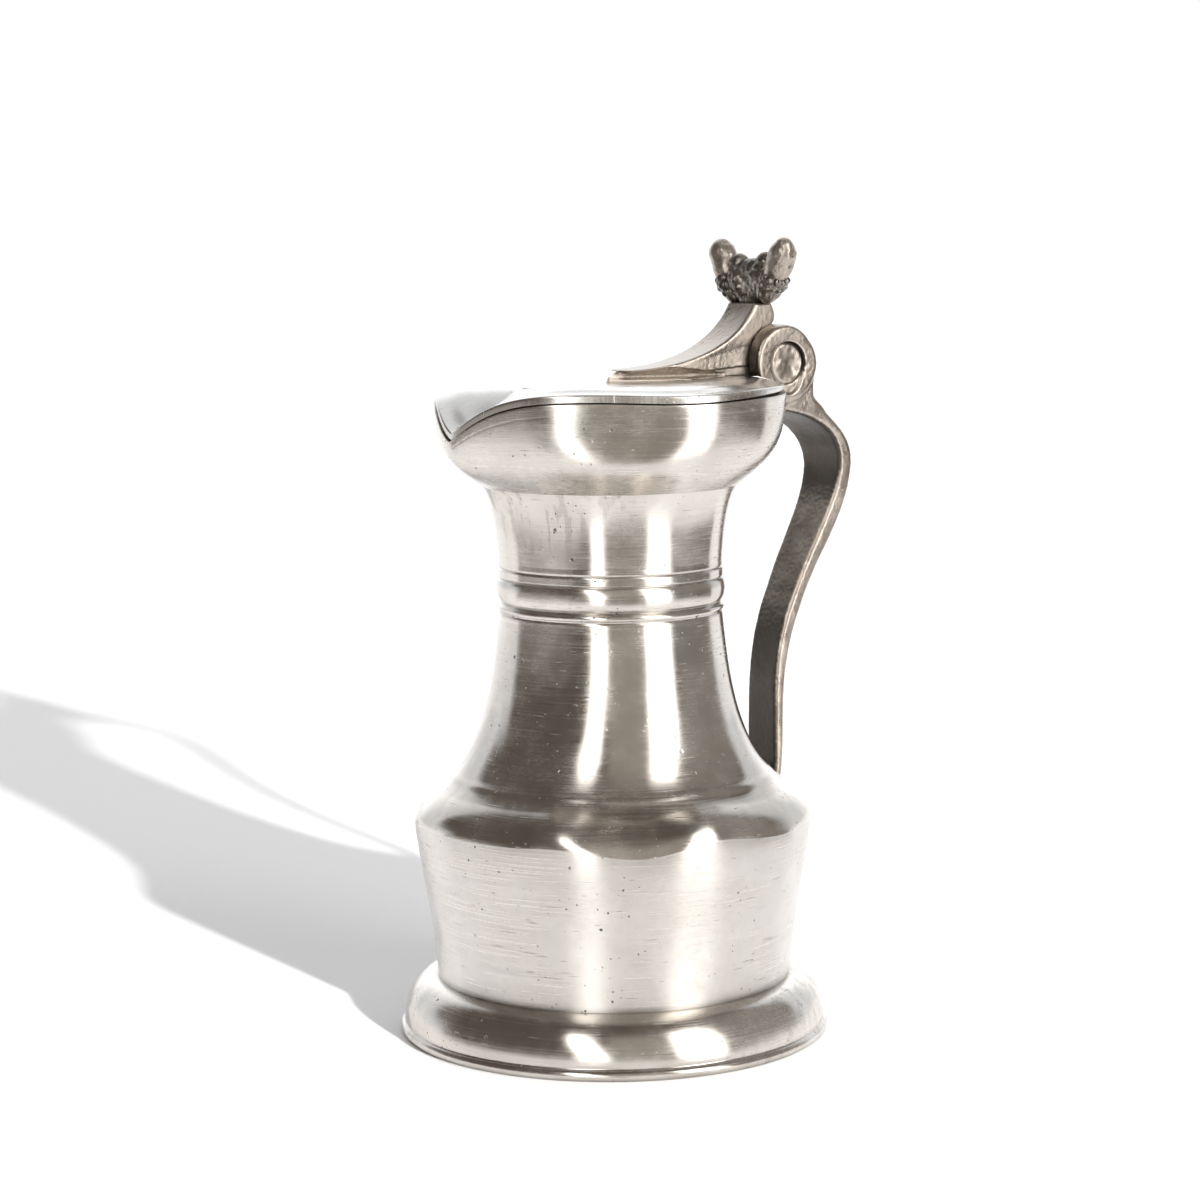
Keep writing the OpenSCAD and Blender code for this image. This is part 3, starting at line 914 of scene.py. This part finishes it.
def surface_position(net, on_lid):
    """Position in metres, and a flat copy in millimetres: round the body and up it, or
    across the lid."""
    place = net.add("TexCoord").outputs["Object"]
    x, y, z = net.add("SeparateXYZ", {0: place}).outputs
    if on_lid:
        first, second = net.times(x, 1 / MM), net.times(y, 1 / MM)
    else:
        around = net.math("ARCTAN2", net.times(y, -1.0), net.times(x, -1.0))
        first, second = net.times(around, 48.0), net.times(z, 1 / MM)
    return place, net.add("CombineXYZ", {"X": first, "Y": second}).outputs[0]


def nicks(net, flat, turn, length, width, seed, share):
    """Separate thin scratches at one angle, one in some of the cells of a stretched grid."""
    cells = net.add("TexVoronoi", {
        "Vector": net.mapped(flat, (1 / length, 1 / width, 1), seed, turn),
        "Scale": 1.0}, voronoi_dimensions="2D").outputs
    line = net.ranged(cells["Distance"], 0.01, 0.055, 1.0, 0.0)
    chance = net.add("SeparateColor", {0: cells["Color"]}).outputs[0]
    return net.times(line, net.ranged(chance, 1 - share, 1.02 - share))


def hairlines(net, flat, turn, length, width, seed):
    """A faint field of long fine lines at one angle, 0 to 1."""
    turned = net.mapped(flat, (1 / length, 1 / width, 1), seed, turn)
    return net.noise(turned, 1.0, 2.0, 0.6, noise_dimensions="2D")


def specks(net, place, size, share, seed):
    """Small ragged pits, one in some of the cells; size is a cell's width in millimetres."""
    wobble = net.add("TexNoise", {"Vector": place, "Scale": 1400.0, "Detail": 2.0})
    moved = net.vector("SCALE", wobble.outputs["Color"], 0.0006)
    spot = net.vector("ADD", net.vector("ADD", place, moved), (seed, 0, 0))
    cells = net.add("TexVoronoi", {"Vector": spot, "Scale": 1000.0 / size}).outputs
    parts = net.add("SeparateColor", {0: cells["Color"]}).outputs
    here = net.ranged(parts[0], 1 - share, 1.02 - share)
    reach = net.ranged(parts[1], 0.0, 1.0, 0.07, 0.17)
    near = net.math("DIVIDE", cells["Distance"], reach)
    return net.times(here, net.ranged(near, 0.6, 1.0, 1.0, 0.0))


# Kinds of scratch: angle, length and spacing in millimetres, seed, share of cells with one.
SCRATCHES = ((17, 70, 2.0, 1.3, 0.18), (-22, 60, 2.2, 2.9, 0.2), (64, 34, 2.6, 4.1, 0.1),
             (-7, 44, 2.4, 6.7, 0.16), (-48, 20, 2.8, 8.3, 0.14), (38, 22, 2.6, 9.1, 0.14))
# The colour of the painted shade on a side turned away from the light.
SIDE_SHADE = (0.05, 0.044, 0.039)
# The colour of dirt, pits and scratches, also used for the painted shade in creases.
DIRT_AND_SHADE = (0.055, 0.046, 0.038)


def pewter(name, tint, shade, gloss, dull, lines=0.0, scratches=0.0, pits=0.0, grain=0.0,
           stretch=0.0, crevice=2.0, on_lid=False, side_shade=0.0, shade_faces=(-0.8, 0, -0.6),
           stains=0.0, dull_cup=0.0):
    """Old pewter. tint and shade are its light and dark colours, gloss and dull its lowest
    and highest roughness, dull_cup what the cup has on top of that. side_shade is how dark the
    painted shade is on the side that faces shade_faces, and crevice how far the painted
    shade in creases reaches. The rest say how much of each kind of wear shows."""
    material = bpy.data.materials.new(name)
    net = Network(material)
    place, flat = surface_position(net, on_lid)

    cloud = net.noise(place, 48.0, 5.0, 0.62)
    streak = net.noise(net.mapped(place, (16.0, 16.0, 2400.0)), 1.0, 3.0, 0.7)
    speck = net.noise(place, 1100.0, 3.0, 0.7)
    marks = 0.0
    for kind in SCRATCHES:
        marks = net.most(marks, nicks(net, flat, *kind))
    hair = net.plus(hairlines(net, flat, 9, 30, 0.32, 3.3),
                    hairlines(net, flat, -17, 24, 0.36, 7.9))
    hair = net.minus(net.times(hair, 0.5), 0.5)
    hole = net.most(specks(net, place, 2.6, 0.42, 0.0), specks(net, place, 3.8, 0.25, 0.5))
    hole = net.most(hole, specks(net, place, 1.7, 0.3, 0.9))
    hole = net.times(hole, net.ranged(net.noise(place, 40.0, 2.0), 0.44, 0.6, 0.1, 1.0))

    # Ambient occlusion darkens the colour in creases and where parts meet: painted shade, partly
    # the oxide that sits in the hollows.
    hollow = net.add("AmbientOcclusion", {"Distance": crevice * MM}, samples=6)
    occluded_shade = net.minus(1.0, hollow.outputs["AO"])
    edge = net.add("NewGeometry").outputs["Pointiness"]
    worn = net.ranged(edge, 0.51, 0.56)
    sunk = net.ranged(edge, 0.49, 0.44)

    dirt_and_shade = net.plus(net.times(occluded_shade, 0.75), net.times(sunk, 0.5 if grain else 0.1), True)
    dirt_and_shade = net.plus(dirt_and_shade, net.times(hole, min(1.0, pits)), True)
    dirt_and_shade = net.plus(dirt_and_shade, net.times(marks, 0.35 * scratches), True)
    if stains:
        drip = net.noise(net.mapped(place, (330.0, 330.0, 20.0)), 1.0, 3.0, 0.6)
        where = net.noise(place, 14.0, 1.0)
        drip = net.times(net.ranged(drip, 0.52, 0.60), net.ranged(where, 0.50, 0.62))
        dirt_and_shade = net.plus(dirt_and_shade, net.times(drip, stains), True)

    rough = net.ranged(cloud, 0.3, 0.72, gloss, dull)
    rough = net.plus(rough, net.times(marks, 0.15 * scratches))
    rough = net.plus(rough, net.times(dirt_and_shade, 0.25))
    rough = net.plus(rough, net.times(hair, 0.14 * (lines + scratches)))
    colour = net.mix(net.ranged(cloud, 0.34, 0.68), shade, tint)
    bright = tuple(min(1.0, c * 1.25) for c in tint)
    colour = net.mix(net.times(worn, 0.7 if grain else 0.2), colour, bright)
    # Painted shade: the side that faces shade_faces, such as the handle's inner face and the
    # lid's underside, is darkened.
    if side_shade:
        facing = net.dot(net.add("TexCoord").outputs["Normal"], shade_faces)
        shaded_side = net.times(net.ranged(facing, 0.35, 0.62),
                               net.ranged(cloud, 0.2, 0.5, 0.85, 1.0))
        colour = net.mix(net.times(shaded_side, side_shade), colour, SIDE_SHADE)
        rough = net.plus(rough, net.times(shaded_side, 0.1))
    # Real dirt, pits, scratches and stains, together with the painted crease shade, darken the
    # colour here.
    colour = net.mix(net.times(dirt_and_shade, 0.85), colour, DIRT_AND_SHADE)
    if dull_cup:
        level = net.add("SeparateXYZ", {0: place}).outputs["Z"]
        on_cup = net.ranged(level, (CUP_Z - 1.5) * MM, (CUP_Z + 1.5) * MM, 0.0, dull_cup)
        rough = net.plus(rough, on_cup)
    rough = net.plus(rough, net.times(net.minus(streak, 0.5), 0.12 * lines), True)

    relief = net.times(streak, 0.0028 * lines)
    relief = net.plus(relief, net.times(hair, 0.004 * scratches))
    relief = net.minus(relief, net.times(marks, 0.03 * scratches))
    relief = net.minus(relief, net.times(hole, 0.12 * pits))
    relief = net.plus(relief, net.times(speck, 0.09 * grain))
    uneven = net.add("Bump", {"Strength": 1.0, "Distance": MM, "Height": relief})

    surface = net.add("BsdfPrincipled", {
        "Base Color": colour, "Roughness": rough, "Metallic": 1.0,
        "Normal": uneven.outputs["Normal"], "Anisotropic": stretch,
        "Anisotropic Rotation": 0.25})
    if stretch:
        round_z = net.add("Tangent", direction_type="RADIAL", axis="Z")
        net.tree.links.new(round_z.outputs["Tangent"], surface.inputs["Tangent"])
    net.add("OutputMaterial", {"Surface": surface.outputs["BSDF"]})
    return material


# ---------- the object ----------

vessel_pewter = pewter(
    "vessel_pewter", (0.76, 0.725, 0.68), (0.60, 0.56, 0.515), 0.165, 0.27,
    lines=1.3, scratches=0.8, pits=0.8, stretch=0.8, stains=0.2, dull_cup=0.045)
drum_pewter = pewter(
    "drum_pewter", (0.82, 0.795, 0.76), (0.68, 0.645, 0.605), 0.28, 0.38,
    lines=1.3, scratches=1.3, pits=1.1, stretch=0.93)
lid_pewter = pewter(
    "lid_pewter", (0.80, 0.78, 0.75), (0.64, 0.615, 0.58), 0.18, 0.30,
    lines=0.3, scratches=1.0, pits=1.4, on_lid=True, side_shade=0.72, shade_faces=(0, 0, -1))
cast_pewter = pewter(
    "cast_pewter", (0.60, 0.535, 0.475), (0.40, 0.35, 0.305), 0.24, 0.42,
    scratches=0.3, pits=0.6, grain=1.0, crevice=3.0)
handle_pewter = pewter(
    "handle_pewter", (0.60, 0.54, 0.48), (0.40, 0.35, 0.305), 0.24, 0.42,
    scratches=0.3, pits=0.8, grain=1.0, crevice=3.0, side_shade=0.9)
dark_pewter = pewter(
    "dark_pewter", (0.36, 0.33, 0.30), (0.15, 0.135, 0.12), 0.20, 0.40,
    grain=1.0, crevice=2.5)
under_pewter = pewter(
    "under_pewter", (0.42, 0.40, 0.38), (0.28, 0.265, 0.25), 0.35, 0.5,
    scratches=1.0, pits=1.5, on_lid=True)


def build_object():
    """Every piece, each on its own body and standing for its own CAD node."""
    neck = filled_in(band_outline(), 0.3)
    vessel = (
        ("foot_ring", foot_mesh(), "pewter", vessel_pewter),
        ("base_plate", plate_mesh(), "pewter_dark", under_pewter),
        ("lower_drum", shell("lower_drum", drum_outline()), "pewter_bright", drum_pewter),
        ("shoulder_neck", shell("shoulder_neck", shoulder_outline()), "pewter_bright",
         vessel_pewter),
        ("upper_neck", shell("upper_neck", neck, 320), "pewter_bright", vessel_pewter),
        ("mouth_cup", cup_mesh(), "pewter_bright", vessel_pewter),
        ("handle", handle_mesh(), "pewter", handle_pewter),
        ("hinge_pin", pin_mesh(), "pewter_dark", dark_pewter),
        ("pin_plug_near", plug_mesh("pin_plug_near", -1), "pewter", cast_pewter),
        ("pin_plug_far", plug_mesh("pin_plug_far", 1), "pewter", cast_pewter))
    lid = (
        ("lid_plate", lid_mesh(), "pewter_bright", lid_pewter),
        ("lid_ramp", ramp_mesh(), "pewter", cast_pewter),
        ("thumbpiece", thumb_mesh(), "pewter_dark", dark_pewter),
        ("acorn_near", nut_mesh("acorn_near", -1), "pewter", cast_pewter),
        ("acorn_far", nut_mesh("acorn_far", 1), "pewter", cast_pewter))
    for body, pieces in (("vessel", vessel), ("lid", lid)):
        for piece in pieces:
            finish_piece(body, *piece)


build_object()


# ---------- studio ----------

VIEW_TURN = math.radians(34)      # the handle points this far behind the picture's plane
TOWARD_CAMERA = Vector((-math.sin(VIEW_TURN), -math.cos(VIEW_TURN), 0))
PICTURE_RIGHT = Vector((math.cos(VIEW_TURN), -math.sin(VIEW_TURN), 0))
WINDOW_LEFT = 4.0                 # how bright each window is
WINDOW_RIGHT = 4.2
STUDIO_R = 6.0                    # how far out the floor and the dark room reach, in metres
TABLE_EDGE = 0.28                 # the white table ends this far out on the near side
TABLE_SIDE = 0.50                 # and this far out to the left and right
TABLE_TURN = 17                   # the edge is nearest at this angle


def around(degrees, distance, height):
    """A point at an angle round the object, counted from the camera towards the right."""
    a = math.radians(degrees)
    flat = TOWARD_CAMERA * math.cos(a) + PICTURE_RIGHT * math.sin(a)
    return flat * distance + Vector((0, 0, height))


def flat_thing(name, bm, material):
    """A flat part of the studio."""
    mesh = as_mesh(name, bm, closed=False)
    mesh.materials.append(material)
    return linked(name, mesh)


def add_floor():
    """A large pale floor."""
    bm = bmesh.new()
    bmesh.ops.create_circle(bm, cap_ends=True, segments=128, radius=STUDIO_R)
    material = bpy.data.materials.new("floor_pale")
    net = Network(material)
    surface = net.add("BsdfPrincipled", {"Base Color": (0.86, 0.86, 0.87, 1), "Roughness": 0.9,
                                         "Specular IOR Level": 0.1})
    net.add("OutputMaterial", {"Surface": surface.outputs["BSDF"]})
    flat_thing("floor", bm, material)


def table_reach(degrees):
    """How far out the white table ends at an angle round the object."""
    ahead = math.cos(math.radians(degrees - TABLE_TURN))
    return min(TABLE_EDGE / max(ahead, 0.1), TABLE_SIDE)


def add_table_edge():
    """The dark room beyond the near side of the table, which only reflections can see."""
    bm = bmesh.new()
    steps = 60
    turns = [-108 + 228 * i / steps for i in range(steps + 1)]
    inner = [bm.verts.new(around(a, table_reach(a), 0.001)) for a in turns]
    outer = [bm.verts.new(around(a, STUDIO_R, 0.001)) for a in turns]
    for i in range(steps):
        bm.faces.new((inner[i], outer[i], outer[i + 1], inner[i + 1]))
    material = bpy.data.materials.new("dark_room")
    net = Network(material)
    turned = net.turned(net.add("TexCoord").outputs["Object"])
    off = net.size(net.minus(turned, 15.0))
    shade = net.mix(net.ranged(off, 16.0, 30.0), (0.33, 0.30, 0.27), (0.15, 0.13, 0.115))
    lit = net.ranged(turned, -35.0, -50.0, 0.0, 0.28)
    for centre, half_width, bright in ((-12.0, 6.5, 2.6), (50.0, 13.0, 2.4)):
        away = net.size(net.minus(turned, centre))
        lit = net.plus(lit, net.ranged(away, half_width - 3.0, half_width + 3.0, bright, 0.0))
    glow = net.add("Emission", {"Color": net.vector("ADD", shade, lit)})
    net.add("OutputMaterial", {"Surface": glow.outputs[0]})
    edge = flat_thing("table_edge", bm, material)
    edge.visible_camera = False
    edge.visible_diffuse = False
    edge.visible_shadow = False


def add_sun(name, degrees, height_angle, strength, softness, colour):
    """An even light from far away, kept out of the metal's reflections."""
    data = bpy.data.lights.new(name, "SUN")
    data.energy = strength
    data.angle = math.radians(softness)
    data.color = colour
    light = linked(name, data)
    far = math.cos(math.radians(height_angle))
    source = around(degrees, far, math.sin(math.radians(height_angle)))
    light.rotation_euler = (-source).to_track_quat("-Z", "Y").to_euler()
    light.visible_glossy = False


def panel(net, turned, height, centre, half_width, low, high, soft=3.0):
    """1 inside a soft-edged patch of the room, given in degrees round and up, else 0."""
    off = net.size(net.minus(turned, centre))
    across = net.ranged(off, half_width - soft, half_width + soft, 1.0, 0.0)
    above = net.ranged(height, low - soft, low + soft)
    below = net.ranged(height, high - 2 * soft, high + 2 * soft, 1.0, 0.0)
    return net.times(across, net.times(above, below))


def add_world():
    """Plain pale to the camera. The metal reflects a dim room with two windows on the
    camera's side, and pale card behind."""
    world = bpy.data.worlds.new("studio")
    bpy.context.scene.world = world
    net = Network(world)
    direction = net.add("TexCoord").outputs["Generated"]
    turned = net.turned(direction)
    height = net.times(net.math("ARCSINE", net.dot(direction, (0, 0, 1))), 180 / math.pi)
    off = net.size(turned)

    behind = net.most(net.ranged(turned, -101.0, -111.0), net.ranged(turned, 116.0, 128.0))
    turn_back = net.ranged(off, 111.0, 151.0)
    crest = net.plus(net.times(net.times(turn_back, turn_back), 71.0), 4.0)
    back = net.times(behind, net.ranged(net.minus(height, crest), 0.0, 14.0, 1.0, 0.0))
    glow = net.times(net.ranged(off, 140.0, 165.0), panel(net, turned, height, 0, 200, 1, 40))
    side = panel(net, turned, height, 96, 28, -90, 60, 6.0)
    middle = panel(net, turned, height, 17, 22, -90, 52, 6.0)
    leaning = net.plus(turned, net.times(height, 0.32))
    left = panel(net, leaning, height, -10.0, 7.0, -12, 52)
    right = panel(net, turned, height, 49, 13, -12, 49, 4.0)
    room = (0.125, 0.105, 0.09)
    for patch, colour in ((side, (0.30, 0.275, 0.25)), (middle, (0.44, 0.405, 0.365)),
                          (back, (0.86, 0.885, 0.92)), (glow, (1.55, 1.57, 1.6))):
        room = net.mix(patch, room, colour)
    panes = net.plus(net.times(left, WINDOW_LEFT), net.times(right, WINDOW_RIGHT))
    total = net.vector("ADD", room, net.vector("SCALE", (1.0, 0.985, 0.955), panes))
    dim = net.add("Background", {"Color": total, "Strength": 1.0})
    plain = net.add("Background", {"Color": (1, 1, 1, 1), "Strength": 1.05})
    seen = net.add("LightPath").outputs["Is Camera Ray"]
    both = net.add("MixShader", {0: seen, 1: dim.outputs[0], 2: plain.outputs[0]})
    net.add("OutputWorld", {"Surface": both.outputs[0]})


def add_camera():
    """The camera at the picture's place: level with the lid, a little over four times the
    object's height away."""
    distance, height = 0.86934, 0.2355
    pitch, yaw, roll = math.radians(7.1176), math.radians(-0.2), math.radians(-0.5)
    level = (-TOWARD_CAMERA) * math.cos(yaw) + PICTURE_RIGHT * math.sin(yaw)
    forward = level * math.cos(pitch) - Vector((0, 0, math.sin(pitch)))
    right = forward.cross(Vector((0, 0, 1))).normalized()
    up = right.cross(forward)
    right, up = (right * math.cos(roll) + up * math.sin(roll),
                 up * math.cos(roll) - right * math.sin(roll))
    data = bpy.data.cameras.new("camera")
    data.sensor_fit = "HORIZONTAL"
    data.sensor_width = 36
    data.lens = 91.28
    data.clip_start = 0.01
    camera = linked("camera", data)
    place = Matrix((right, up, -forward)).transposed().to_4x4()
    place.translation = TOWARD_CAMERA * distance + Vector((0, 0, height))
    camera.matrix_world = place
    bpy.context.scene.camera = camera


add_floor()
add_table_edge()
add_world()
add_sun("key", 30, 16.5, 6.4, 1.6, (1.0, 0.985, 0.965))
add_sun("sky", 0, 90, 0.55, 70, (0.92, 0.96, 1.0))
add_camera()
bpy.context.scene.view_settings.view_transform = "Standard"
